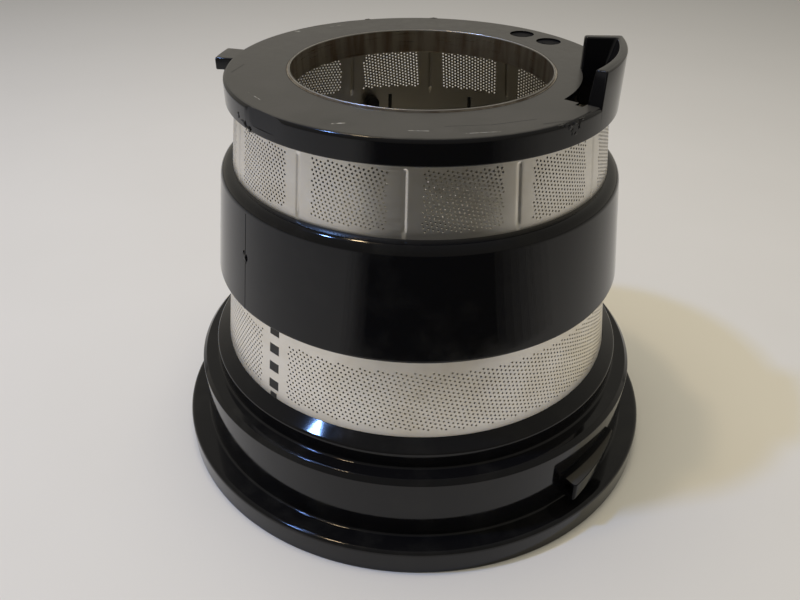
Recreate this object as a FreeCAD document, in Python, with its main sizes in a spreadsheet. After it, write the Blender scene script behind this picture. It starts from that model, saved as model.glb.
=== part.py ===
import FreeCAD, Part
import math
import os
from types import SimpleNamespace

import Sketcher

# Strainer of a slow juicer, standing upside down on its wide rim: a cone of perforated steel sheet with
# black plastic moulded round it. The axis is Z and the origin is the middle of the rim's foot.
# Lengths are in millimetres and angles in degrees. An azimuth is measured round the axis from -Y,
# positive towards +X.

SIZES = {
    # Stepped rim, from its foot up
    "flange_radius": 60.0,
    "flange_height": 6.2,
    "flange_round": 0.9,
    "wall_foot_radius": 55.6,
    "wall_top_radius": 54.9,
    "step_height": 22.3,
    "step_round": 1.2,
    "hub_radius": 50.8,
    "hub_height": 26.7,
    "hub_round": 0.7,
    "seal_height": 28.1,
    "shell_wall": 2.2,
    "inner_lip": 1.2,
    "inner_lip_rise": 0.8,
    "corner_round": 0.5,
    # Locking wedge on the rim's wall: three sections, from its blunt end with a pocket to its thin end
    "wedge_start": 38.0,
    "wedge_middle": 46.0,
    "wedge_end": 57.0,
    "wedge_start_depth": 3.2,
    "wedge_middle_depth": 2.3,
    "wedge_end_depth": 0.4,
    "wedge_start_rise": 7.3,
    "wedge_end_rise": 9.8,
    "wedge_start_foot": 2.4,
    "wedge_end_foot": 7.6,
    "wedge_root": 1.6,
    "wedge_round": 0.8,
    "pocket_angle": 2.6,
    "pocket_root": 0.3,
    "pocket_wall": 0.7,
    "pocket_floor": 1.1,
    # Steel sheet: outer radius where it leaves the rim, and radius lost for each unit of height
    "screen_radius": 47.5,
    "screen_taper": 0.125,
    "sheet_thickness": 0.5,
    "foot_depth": 4.5,
    "head_depth": 1.4,
    "mould_clearance": 0.05,
    # Perforated zones, by their plain margins to the mouldings
    "lower_zone_margin": 1.3,
    "lower_zone_top_margin": 3.6,
    "upper_zone_margin": 1.0,
    "upper_zone_top_margin": 0.9,
    "panel_count": 12,
    "strip_azimuth": -3.4,
    "strip_angle": 8.0,
    "slots_per_panel": 4,
    "slots_per_sector": 24,
    "sector_strip_angle": 9.5,
    "slot_angle": 1.3,
    # Pressed beads in the plain strips of the upper zone
    "bead_end_margin": 1.0,
    "bead_width": 1.5,
    "bead_depth": 0.45,
    # Windows and anchor slots that the plastic fills
    "window_angle": 3.7,
    "window_height": 2.3,
    "window_pitch": 4.55,
    "window_first_drop": 1.3,
    "anchor_angle": 1.2,
    "anchor_length": 4.9,
    "key_clearance_angle": 0.08,
    "key_root": 0.8,
    # Middle band and inner ribs
    "band_low": 47.6,
    "band_high": 72.2,
    "band_wall": 2.6,
    "band_shoulder": 2.4,
    "rib_count": 3,
    "rib_azimuth": -41.0,
    "rib_angle": 5.0,
    "rib_depth": 2.4,
    "rib_drop": 0.8,
    "rib_end_round": 1.6,
    # Collar at the narrow end
    "collar_underside": 86.4,
    "collar_top": 91.5,
    "collar_radius": 42.0,
    "collar_round": 0.5,
    "bore_radius": 28.1,
    "ring_wall": 0.7,
    "ring_stand": 0.35,
    "ring_flange": 2.2,
    # Pulp outlet: a slot beside a raised wall with a blunt rear end
    "outlet_radius": 34.0,
    "outlet_start": 54.0,
    "outlet_end": 88.3,
    "lip_height": 6.8,
    "lip_root_wall": 3.1,
    "lip_top_wall": 1.9,
    "lip_back_angle": 3.2,
    "lip_corner_round": 1.0,
    "chute_drop": 2.5,
    "notch_angle": 2.4,
    "notch_width": 1.7,
    "notch_depth": 1.6,
    # Locating lug and mould recesses on the collar
    "lug_start": -104.0,
    "lug_end": -94.0,
    "lug_radius": 45.6,
    "lug_height": 2.7,
    "recess_circle": 36.5,
    "recess_radius": 2.9,
    "recess_depth": 0.4,
    "recess_first": 125.0,
    "recess_second": 138.3,
}

EDGE_MATCH = 0.01

doc = FreeCAD.newDocument("juicer_strainer")
sheet = doc.addObject("Spreadsheet::Sheet", "sheet")
for row, (alias, number) in enumerate(SIZES.items(), 1):
    sheet.set(f"A{row}", alias.replace("_", " "))
    sheet.set(f"B{row}", str(number))
    sheet.setAlias(f"B{row}", alias)
doc.recompute()


class Size:
    """A dimension that carries its number and the sheet expression that gives it."""

    def __init__(self, value, text):
        self.value = value
        self.text = text

    def __add__(self, other):
        other = sized(other)
        return Size(self.value + other.value, f"({self.text} + {other.text})")

    def __sub__(self, other):
        other = sized(other)
        return Size(self.value - other.value, f"({self.text} - {other.text})")

    def __mul__(self, other):
        other = sized(other)
        return Size(self.value * other.value, f"({self.text} * {other.text})")

    def __truediv__(self, other):
        other = sized(other)
        return Size(self.value / other.value, f"({self.text} / {other.text})")


def sized(item):
    if isinstance(item, Size):
        return item
    return Size(float(item), f"({float(item)})")


size = SimpleNamespace(**{name: Size(float(number), f"sheet.{name}") for name, number in SIZES.items()})
ground = sized(0)


# Heights and radii that several pieces share

sheet_foot = size.seal_height - size.foot_depth
sheet_head = size.collar_underside + size.head_depth
lip_top = size.seal_height + size.inner_lip_rise
step_underside = size.step_height - size.shell_wall
flange_underside = size.flange_height - size.shell_wall
rib_top = size.band_high - size.rib_drop
ring_outside = size.bore_radius + size.ring_wall
ring_flange_radius = ring_outside + size.ring_flange
window_first = size.seal_height - size.window_first_drop
window_half = size.window_height / 2
window_rise = rib_top.value - window_half.value - window_first.value
window_count = 1 + int(window_rise / size.window_pitch.value)
panel_angle = sized(360) / size.panel_count
panel_azimuth = size.strip_azimuth + panel_angle / 2
sector_angle = sized(360) / size.rib_count
plug_angle = size.window_angle - size.key_clearance_angle * 2
anchor_key_angle = size.anchor_angle - size.key_clearance_angle * 2


def outside(height):
    """Radius of the sheet's outer face at a height."""
    return size.screen_radius - size.screen_taper * (height - size.seal_height)


def inside(height):
    """Radius of the sheet's inner face at a height."""
    return outside(height) - size.sheet_thickness


def window_heights():
    return [window_first + size.window_pitch * step for step in range(window_count)]


# Sketch and feature helpers

def origin_feature(body, role):
    return next(item for item in body.Origin.OriginFeatures if item.Role == role)


def new_body(label):
    body = doc.addObject("PartDesign::Body", label)
    body.Label = label
    body.Placement = FreeCAD.Placement()
    return body


def axial_sketch(body, name, azimuth):
    """A sketch in the half-plane through the axis at an azimuth: radius across, height up."""
    sketch = body.newObject("Sketcher::SketchObject", name)
    sketch.AttachmentSupport = [(origin_feature(body, "XZ_Plane"), "")]
    sketch.MapMode = "FlatFace"
    upright = FreeCAD.Vector(0, 1, 0)
    sketch.AttachmentOffset = FreeCAD.Placement(FreeCAD.Vector(), FreeCAD.Rotation(upright, 1))
    sketch.setExpression("AttachmentOffset.Rotation.Angle", (azimuth + 270).text)
    return sketch


def plan_sketch(body, name, height, azimuth):
    """A level sketch at a height, turned so that its X axis points out at an azimuth."""
    sketch = body.newObject("Sketcher::SketchObject", name)
    sketch.AttachmentSupport = [(origin_feature(body, "XY_Plane"), "")]
    sketch.MapMode = "FlatFace"
    upright = FreeCAD.Vector(0, 0, 1)
    sketch.AttachmentOffset = FreeCAD.Placement(FreeCAD.Vector(), FreeCAD.Rotation(upright, 1))
    sketch.setExpression("AttachmentOffset.Rotation.Angle", (azimuth + 270).text)
    sketch.setExpression("AttachmentOffset.Base.z", height.text)
    return sketch


def hold_point(sketch, line, end, corner, name):
    """Tie one end of a line to a corner given by its two sizes."""
    for axis, length in zip("XY", corner):
        spot = sketch.addConstraint(Sketcher.Constraint(f"Distance{axis}", -1, 1, line, end, length.value))
        sketch.renameConstraint(spot, f"{name}_{axis}")
        sketch.setExpression(f"Constraints.{name}_{axis}", length.text)


def draw_outline(sketch, corners):
    """A closed outline of straight lines through corners, each tied to the sheet."""
    first = sketch.GeometryCount
    count = len(corners)
    points = [FreeCAD.Vector(across.value, up.value, 0) for across, up in corners]
    for index in range(count):
        sketch.addGeometry(Part.LineSegment(points[index], points[(index + 1) % count]))
    for index, corner in enumerate(corners):
        follower = first + (index + 1) % count
        sketch.addConstraint(Sketcher.Constraint("Coincident", first + index, 2, follower, 1))
        hold_point(sketch, first + index, 1, corner, f"corner_{first + index}")


def revolve(body, name, outlines, cut=False, azimuth=None, angle=None):
    """Turn outlines about the axis: all the way round, or by an angle centred on an azimuth."""
    sketch = axial_sketch(body, f"{name}_outline", azimuth or ground)
    for corners in outlines:
        draw_outline(sketch, corners)
    kind = "PartDesign::Groove" if cut else "PartDesign::Revolution"
    feature = body.newObject(kind, name)
    feature.Profile = sketch
    feature.ReferenceAxis = (sketch, ["V_Axis"])
    feature.Angle = 360
    if angle is not None:
        feature.Midplane = True
        feature.setExpression("Angle", angle.text)
    doc.recompute()
    return feature


def sector(body, name, corners, start, end, cut=False):
    """Turn one outline about the axis from one azimuth to another."""
    return revolve(body, name, [corners], cut, (start + end) / 2, end - start)


def repeat_round(body, name, originals, count, angle):
    """Copies of features round the axis, spread over an angle."""
    pattern = body.newObject("PartDesign::PolarPattern", name)
    pattern.Originals = originals
    pattern.Axis = (origin_feature(body, "Z_Axis"), [""])
    pattern.setExpression("Angle", angle.text)
    pattern.setExpression("Occurrences", count.text)
    body.Tip = pattern
    doc.recompute()
    return pattern


def ring_edges(shape, radius, height):
    """Names of the circular edges about the axis with a radius at a height."""
    names = []
    for index, edge in enumerate(shape.Edges, 1):
        curve = edge.Curve
        if not isinstance(curve, Part.Circle):
            continue
        off_radius = abs(curve.Radius - radius.value)
        off_height = abs(curve.Center.z - height.value)
        if max(off_radius, off_height) < EDGE_MATCH:
            names.append(f"Edge{index}")
    return names


def straight_edges(shape, fits):
    """Names of the straight edges whose two ends both fit a test."""
    names = []
    for index, edge in enumerate(shape.Edges, 1):
        if isinstance(edge.Curve, Part.Line) and all(fits(end.Point) for end in edge.Vertexes):
            names.append(f"Edge{index}")
    return names


def level_edges(shape, height):
    """Straight edges that lie at a height."""
    return straight_edges(shape, lambda point: abs(point.z - height.value) < EDGE_MATCH)


def upright_edges(shape, radius, azimuth):
    """Straight edges that stand at a radius and an azimuth."""
    turn = math.radians(azimuth.value)
    across = radius.value * math.sin(turn)
    along = -radius.value * math.cos(turn)
    return straight_edges(shape, lambda point: math.hypot(point.x - across, point.y - along) < EDGE_MATCH)


def round_edges(body, name, base, edges, radius):
    fillet = body.newObject("PartDesign::Fillet", name)
    fillet.Base = (base, edges)
    fillet.setExpression("Radius", radius.text)
    doc.recompute()
    return fillet


def round_ring(body, name, base, radius, height, amount):
    return round_edges(body, name, base, ring_edges(base.Shape, radius, height), amount)


def upright_patch(near, far, low, high):
    """Corners of a patch between two radii and two heights."""
    return [(near, low), (far, low), (far, high), (near, high)]


def wall_patch(low, high, near, far):
    """Corners of a patch between two heights and two radius functions of height."""
    return [(near(low), low), (far(low), low), (far(high), high), (near(high), high)]


# Steel sheet

def bead_rod(body, name, azimuth, reach, cut):
    """A slanted rod with tapered ends along the sheet, at the middle of a plain strip."""
    half_width = size.bead_width / 2
    press_radius = (half_width * half_width / size.bead_depth + size.bead_depth) / 2
    rod_radius = press_radius + reach
    low = size.band_high + size.bead_end_margin
    high = size.collar_underside - size.bead_end_margin

    def axis(height):
        return outside(height) + press_radius - size.bead_depth

    corners = [
        (axis(low), low),
        (axis(low + rod_radius) - rod_radius, low + rod_radius),
        (axis(high - rod_radius) - rod_radius, high - rod_radius),
        (axis(high), high),
    ]
    sketch = axial_sketch(body, f"{name}_outline", azimuth)
    draw_outline(sketch, corners)
    spine = sketch.addGeometry(Part.LineSegment(
        FreeCAD.Vector(corners[0][0].value, low.value, 0),
        FreeCAD.Vector(corners[3][0].value, high.value, 0)), True)
    sketch.addConstraint(Sketcher.Constraint("Coincident", spine, 1, 0, 1))
    sketch.addConstraint(Sketcher.Constraint("Coincident", spine, 2, 3, 1))
    rod = body.newObject("PartDesign::Groove" if cut else "PartDesign::Revolution", name)
    rod.Profile = sketch
    rod.ReferenceAxis = (sketch, ["Axis0"])
    rod.Angle = 360
    doc.recompute()
    return rod


def perforate(body, name, azimuth, low, high):
    """One tall slot through the sheet."""
    corners = wall_patch(low, high, inner_side, outer_side)
    return revolve(body, name, [corners], True, azimuth, size.slot_angle)


def inner_side(height):
    return inside(height) - size.rib_depth


def outer_side(height):
    return outside(height) + size.band_wall


def steel_screen():
    """The rolled cone, made as one sector of the sheet that is then repeated round the axis.

    The sector's edges lie in plain metal, between a column of windows and the slots beside it. Its wall is
    turned to size after the bead ridges are added, so that they stand inside only.
    """
    body = new_body("steel_screen")
    start = size.rib_azimuth + (size.window_angle + size.sector_strip_angle) / 4
    panels = size.panel_count / size.rib_count
    panels_span = panel_angle * (panels - 1)
    strips_before = math.ceil((start.value - size.strip_azimuth.value) / panel_angle.value)
    strip = size.strip_azimuth + panel_angle * strips_before
    panel = strip + panel_angle / 2

    sector(body, "blank", wall_patch(sheet_foot, sheet_head, inside, outer_side), start, start + sector_angle)
    ridge = bead_rod(body, "bead_ridge", strip, size.sheet_thickness, False)
    repeat_round(body, "bead_ridges", [ridge], panels, panels_span)
    spare = size.foot_depth

    def past(height):
        return outer_side(height) + spare

    revolve(body, "outer_face", [wall_patch(sheet_foot - spare, sheet_head + spare, outside, past)], True)
    press = bead_rod(body, "bead_groove", strip, ground, True)
    repeat_round(body, "bead_grooves", [press], panels, panels_span)

    patches = [
        wall_patch(height - window_half, height + window_half, inner_side, outer_side)
        for height in window_heights()
    ]
    revolve(body, "windows", patches, True, size.rib_azimuth + sector_angle, size.window_angle)
    anchor = wall_patch(rib_top - size.anchor_length, rib_top, inner_side, outer_side)
    slot = revolve(body, "anchor_slot", [anchor], True, panel, size.anchor_angle)
    repeat_round(body, "anchor_slots", [slot], panels, panels_span)

    # Tall slots stand for the fine holes, with about the same open share of the wall
    upper_low = size.band_high + size.upper_zone_margin
    upper_high = size.collar_underside - size.upper_zone_top_margin
    pitch = (panel_angle - size.strip_angle) / size.slots_per_panel
    first = panel - pitch * (size.slots_per_panel - 1) / 2
    slots = [
        perforate(body, f"upper_slot_{index}", first + pitch * index, upper_low, upper_high)
        for index in range(int(size.slots_per_panel.value))
    ]
    repeat_round(body, "upper_slots", slots, panels, panels_span)

    lower_low = size.seal_height + size.lower_zone_margin
    lower_high = size.band_low - size.lower_zone_top_margin
    spread = (sector_angle - size.sector_strip_angle) / size.slots_per_sector * (size.slots_per_sector - 1)
    first = size.rib_azimuth + (sector_angle - spread) / 2
    slot = perforate(body, "lower_slot", first, lower_low, lower_high)
    repeat_round(body, "lower_slots", [slot], size.slots_per_sector, spread)

    whole = repeat_round(body, "sectors", [], size.rib_count, sized(360))
    whole.TransformMode = "Whole shape"
    whole.Refine = False
    doc.recompute()
    return body


# Plastic frame: rim, ribs and band in one shot

def rim_section():
    gap = size.mould_clearance
    groove_floor = sheet_foot - gap
    return [
        (size.flange_radius, ground),
        (size.flange_radius, size.flange_height),
        (size.wall_foot_radius, size.flange_height),
        (size.wall_top_radius, size.step_height),
        (size.hub_radius, size.step_height),
        (size.hub_radius, size.hub_height),
        (outside(size.seal_height) + gap, size.seal_height),
        (outside(groove_floor) + gap, groove_floor),
        (inside(groove_floor) - gap, groove_floor),
        (inside(lip_top) - gap, lip_top),
        (inside(lip_top) - gap - size.inner_lip, lip_top),
        (inside(step_underside) - gap - size.inner_lip, step_underside),
        (size.wall_top_radius - size.shell_wall, step_underside),
        (size.wall_foot_radius - size.shell_wall, flange_underside),
        (size.flange_radius - size.shell_wall, flange_underside),
        (size.flange_radius - size.shell_wall, ground),
    ]


def rib_outer(height):
    return inside(height) - size.mould_clearance


def rib_inner(height):
    return rib_outer(height) - size.rib_depth


def plug_root(height):
    return rib_outer(height) - size.key_root


def key_root(height):
    return outside(height) + size.key_root


def window_plug(height):
    """The plastic in one window: flush with the sheet where it shows, and rooted in a moulding elsewhere."""
    half = window_half - size.mould_clearance
    shows = size.seal_height.value < height.value < size.band_low.value
    far = outside if shows else key_root
    return wall_patch(height - half, height + half, plug_root, far)


def locking_wedge(body):
    """A loft along the rim's wall that grows thinner and higher from its blunt end."""
    middle_foot = (size.wedge_start_foot + size.wedge_end_foot) / 2
    middle_rise = (size.wedge_start_rise + size.wedge_end_rise) / 2
    stations = [
        (size.wedge_start, size.wedge_start_depth, size.wedge_start_foot, size.wedge_start_rise),
        (size.wedge_middle, size.wedge_middle_depth, middle_foot, middle_rise),
        (size.wedge_end, size.wedge_end_depth, size.wedge_end_foot, size.wedge_end_rise),
    ]
    root = size.wall_foot_radius - size.wedge_root
    sketches = []
    for index, (azimuth, depth, low, high) in enumerate(stations):
        face = size.wall_foot_radius + depth
        foot = size.flange_height + low
        top = size.flange_height + high
        sketch = axial_sketch(body, f"wedge_section_{index}", azimuth)
        draw_outline(sketch, [(root, foot), (face, foot), (face, top), (root, top)])
        sketches.append(sketch)
    doc.recompute()
    loft = body.newObject("PartDesign::AdditiveLoft", "locking_wedge")
    loft.Profile = sketches[0]
    loft.Sections = sketches[1:]
    doc.recompute()
    blunt_face = size.wall_foot_radius + size.wedge_start_depth
    blunt_edge = upright_edges(loft.Shape, blunt_face, size.wedge_start)
    round_edges(body, "wedge_edge", loft, blunt_edge, size.wedge_round)
    pocket = upright_patch(
        size.wall_foot_radius + size.pocket_root,
        blunt_face - size.pocket_wall,
        size.flange_height + size.wedge_start_foot + size.pocket_floor,
        size.flange_height + size.wedge_start_rise - size.pocket_wall,
    )
    return sector(body, "wedge_pocket", pocket, size.wedge_start, size.wedge_start + size.pocket_angle, True)


def rim_frame():
    body = new_body("rim_frame")
    rim = revolve(body, "rim", [rim_section()])
    rim = round_ring(body, "flange_edge", rim, size.flange_radius, size.flange_height, size.flange_round)
    rim = round_ring(body, "wall_foot", rim, size.wall_foot_radius, size.flange_height, size.corner_round)
    rim = round_ring(body, "step_edge", rim, size.wall_top_radius, size.step_height, size.step_round)
    rim = round_ring(body, "hub_foot", rim, size.hub_radius, size.step_height, size.corner_round)
    rim = round_ring(body, "hub_edge", rim, size.hub_radius, size.hub_height, size.hub_round)

    rib_low = step_underside + size.inner_lip
    rib_outline = wall_patch(rib_low, rib_top, rib_inner, rib_outer)
    rib = revolve(body, "rib", [rib_outline], False, size.rib_azimuth, size.rib_angle)
    outlines = [window_plug(height) for height in window_heights()]
    plugs = revolve(body, "plugs", outlines, False, size.rib_azimuth, plug_angle)
    ribs = repeat_round(body, "ribs", [rib, plugs], size.rib_count, sized(360))
    round_edges(body, "rib_ends", ribs, level_edges(ribs.Shape, rib_top), size.rib_end_round)

    def band_inner(height):
        return outside(height) + size.mould_clearance

    def band_outer(height):
        return outside(height) + size.band_wall

    band = revolve(body, "band", [wall_patch(size.band_low, size.band_high, band_inner, band_outer)])
    top_radius = band_outer(size.band_high)
    low_radius = band_outer(size.band_low)
    band = round_ring(body, "band_shoulder", band, top_radius, size.band_high, size.band_shoulder)
    band = round_ring(body, "band_foot", band, low_radius, size.band_low, size.corner_round)

    anchor_low = rib_top - size.anchor_length + size.mould_clearance
    anchor = wall_patch(anchor_low, rib_top - size.mould_clearance, inside, key_root)
    key = revolve(body, "anchor_key", [anchor], False, panel_azimuth, anchor_key_angle)
    repeat_round(body, "anchor_keys", [key], size.panel_count, sized(360))
    locking_wedge(body)
    return body


# Collar and its steel ring

def collar_section():
    gap = size.mould_clearance
    groove_roof = sheet_head + gap
    ring_seat = size.collar_underside + size.ring_wall + gap
    return [
        (ring_outside + gap, size.collar_top),
        (ring_outside + gap, ring_seat),
        (ring_flange_radius + gap, ring_seat),
        (ring_flange_radius + gap, size.collar_underside),
        (inside(size.collar_underside) - gap, size.collar_underside),
        (inside(groove_roof) - gap, groove_roof),
        (outside(groove_roof) + gap, groove_roof),
        (outside(size.collar_underside) + gap, size.collar_underside),
        (size.collar_radius, size.collar_underside),
        (size.collar_radius, size.collar_top),
    ]


def outlet_collar():
    body = new_body("outlet_collar")
    plate = revolve(body, "plate", [collar_section()])
    round_ring(body, "face_edge", plate, size.collar_radius, size.collar_top, size.collar_round)

    lug_low = size.collar_top - size.lug_height
    lug_root = size.collar_radius - size.collar_round * 2
    lug = upright_patch(lug_root, size.lug_radius, lug_low, size.collar_top)
    sector(body, "lug", lug, size.lug_start, size.lug_end)

    crest = size.collar_top + size.lip_height
    lip_foot = size.collar_top - size.head_depth
    slot_edge = size.collar_radius - size.lip_root_wall
    lip = [
        (size.collar_radius, lip_foot),
        (size.collar_radius, crest),
        (size.collar_radius - size.lip_top_wall, crest),
        (slot_edge, size.collar_top),
        (slot_edge, lip_foot),
    ]
    back_end = size.outlet_end + size.lip_back_angle
    sector(body, "lip", lip, size.outlet_start, back_end)
    back = upright_patch(size.outlet_radius, size.collar_radius, lip_foot, crest)
    wall = sector(body, "lip_back", back, size.outlet_end, back_end)
    corner = upright_edges(wall.Shape, size.collar_radius, back_end)
    round_edges(body, "lip_corner", wall, corner, size.lip_corner_round)
    slot = upright_patch(size.outlet_radius, slot_edge, size.collar_underside - size.head_depth, size.collar_top)
    sector(body, "outlet_slot", slot, size.outlet_start, size.outlet_end, True)
    chute = upright_patch(size.outlet_radius, slot_edge, size.collar_underside - size.chute_drop, lip_foot)
    sector(body, "chute_back", chute, size.outlet_end, back_end)
    notch_foot = size.collar_top - size.notch_depth
    notch = upright_patch(slot_edge - size.notch_width, slot_edge, notch_foot, size.collar_top)
    sector(body, "outlet_notch", notch, size.outlet_start - size.notch_angle, size.outlet_start, True)

    for name, azimuth in (("first", size.recess_first), ("second", size.recess_second)):
        sketch = plan_sketch(body, f"{name}_recess_circle", size.collar_top, azimuth)
        middle = FreeCAD.Vector(size.recess_circle.value, 0, 0)
        circle = Part.Circle(middle, FreeCAD.Vector(0, 0, 1), size.recess_radius.value)
        sketch.addGeometry(circle)
        radius = sketch.addConstraint(Sketcher.Constraint("Radius", 0, size.recess_radius.value))
        sketch.renameConstraint(radius, "recess_radius")
        sketch.setExpression("Constraints.recess_radius", size.recess_radius.text)
        reach = sketch.addConstraint(Sketcher.Constraint("DistanceX", -1, 1, 0, 3, size.recess_circle.value))
        sketch.renameConstraint(reach, "recess_reach")
        sketch.setExpression("Constraints.recess_reach", size.recess_circle.text)
        sketch.addConstraint(Sketcher.Constraint("PointOnObject", 0, 3, -1))
        recess = body.newObject("PartDesign::Pocket", f"{name}_recess")
        recess.Profile = sketch
        recess.setExpression("Length", size.recess_depth.text)
        doc.recompute()
    return body


def wear_ring():
    """A thin ring with a flange at its inner end, which the collar is moulded over."""
    body = new_body("wear_ring")
    crest = size.collar_top + size.ring_stand
    flange_top = size.collar_underside + size.ring_wall
    section = [
        (size.bore_radius, size.collar_underside),
        (ring_flange_radius, size.collar_underside),
        (ring_flange_radius, flange_top),
        (ring_outside, flange_top),
        (ring_outside, crest),
        (size.bore_radius, crest),
    ]
    revolve(body, "ring", [section])
    return body


pieces = [steel_screen(), rim_frame(), outlet_collar(), wear_ring()]
doc.recompute()

for item in doc.Objects:
    if {"Invalid", "Error"} & set(item.State):
        raise RuntimeError(f"{item.Label} did not build: {item.State}")
for piece in pieces:
    if piece.Shape.isNull() or not piece.Shape.isValid() or len(piece.Shape.Solids) != 1:
        raise RuntimeError(f"{piece.Label} is not one sound solid")

os.makedirs("parts", exist_ok=True)
for piece in pieces:
    piece.Shape.exportStep(f"parts/{piece.Label}.step")
    print(piece.Label, round(piece.Shape.Volume), "mm3")
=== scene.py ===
import math

import bmesh
import bpy
import numpy as np
from mathutils import Matrix, Vector, geometry, noise


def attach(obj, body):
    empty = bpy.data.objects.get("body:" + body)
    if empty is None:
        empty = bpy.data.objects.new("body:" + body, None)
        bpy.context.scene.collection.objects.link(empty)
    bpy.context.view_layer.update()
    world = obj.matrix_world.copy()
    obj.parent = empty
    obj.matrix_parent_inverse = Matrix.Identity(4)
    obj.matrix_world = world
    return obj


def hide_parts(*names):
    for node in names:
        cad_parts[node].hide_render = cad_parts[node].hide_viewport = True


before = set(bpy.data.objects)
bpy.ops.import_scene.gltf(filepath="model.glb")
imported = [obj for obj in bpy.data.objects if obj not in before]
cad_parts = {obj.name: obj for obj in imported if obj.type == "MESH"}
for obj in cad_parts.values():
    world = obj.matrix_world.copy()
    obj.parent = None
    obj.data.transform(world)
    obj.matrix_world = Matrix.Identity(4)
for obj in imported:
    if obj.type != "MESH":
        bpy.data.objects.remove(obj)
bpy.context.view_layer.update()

# Lengths below are in millimetres and are turned to metres when a mesh, light or material is made. An azimuth
# is in degrees round the Z axis from -Y, positive towards +X.
MM = 0.001


# Steel sheet: a cone with two perforated zones

CONE_HEIGHT = 28.1
CONE_RADIUS = 47.5
CONE_TAPER = 0.125
SHEET_THICKNESS = 0.5
SHEET_FOOT = 23.6
FOOT_SPLIT = 26.0
HEAD_SPLIT = 86.4
SHEET_HEAD = 87.8
SECTOR_ANGLE = 120.0
SECTOR_TURNS = (0.0, SECTOR_ANGLE, -SECTOR_ANGLE)
SECTOR_START = -36.9
SECTOR_END = SECTOR_START + SECTOR_ANGLE

LOWER_LOW = 29.4
LOWER_HIGH = 44.0
LOWER_START = -36.25
LOWER_END = 74.25
LOWER_COLUMNS = 184
LOWER_ROWS = 17
LOWER_HOLE_PITCH = 1.04
LOWER_HOLE_RADIUS = 0.24
UPPER_LOW = 73.2
UPPER_HIGH = 85.5
STRIP_AZIMUTH = -33.4
STRIP_HALF = 4.0
PANEL_PITCH = 30.0
PANELS_IN_SECTOR = 4
PANEL_COLUMNS = 32
PANEL_ROWS = 15
PANEL_HOLE_PITCH = 0.87
PANEL_HOLE_STRETCH = 1.07
PANEL_HOLE_RADIUS = 0.225
HOLE_SIDES = 8
HOLE_MARGIN = 0.12
ROW_SLOPE = -14.0
ROW_REACH = 220

BEAD_HALF_WIDTH = 0.65
BEAD_DEPTH = 0.2
BEAD_LOW = UPPER_LOW
BEAD_HIGH = 85.4
WINDOW_AZIMUTHS = (75.0, 76.1, 77.15, 78.4, 79.65, 80.85, 82.0, SECTOR_END)
WINDOW_SIDES = (77.15, 80.85)
WINDOW_MIDDLES = (31.35, 35.9, 40.45, 45.0)
WINDOW_HALF_HEIGHT = 1.15
WINDOW_STRIP_TOP = 46.9
WAIST_HEIGHTS = (52.0, 58.0, 61.0)
ANCHOR_LOW = 66.5
ANCHOR_HIGH = 71.4
STRIP_RIGHT_OFFSETS = (0.12, 0.25, 0.4, 0.55, 0.7, 0.9, 1.4, 2.6)
STRIP_OFFSETS = (*(-offset for offset in reversed(STRIP_RIGHT_OFFSETS)), 0.0, *STRIP_RIGHT_OFFSETS)
STRIP_INSET = 3.4
STRIP_HEIGHTS = (
    UPPER_LOW, 73.35, 73.5, 73.7, 74.0, 74.6, 75.6, 77.2, 79.3,
    81.4, 83.0, 84.0, 84.6, 84.9, 85.1, 85.25, BEAD_HIGH, UPPER_HIGH,
)

# Coordinates of the flat drawing
AZIMUTH = 0
HEIGHT = 1
SAME_PLACE_DIGITS = 5
INSIDE_LOOPS = 1
MERGE_DISTANCE = 1e-6


def spread(low, high, count):
    return [low + (high - low) * step / count for step in range(count + 1)]


def upright(azimuth, heights):
    return [(azimuth, height) for height in heights]


def across(height, azimuths):
    return [(azimuth, height) for azimuth in azimuths]


def outer_radius(height):
    return CONE_RADIUS - CONE_TAPER * (height - CONE_HEIGHT)


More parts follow.
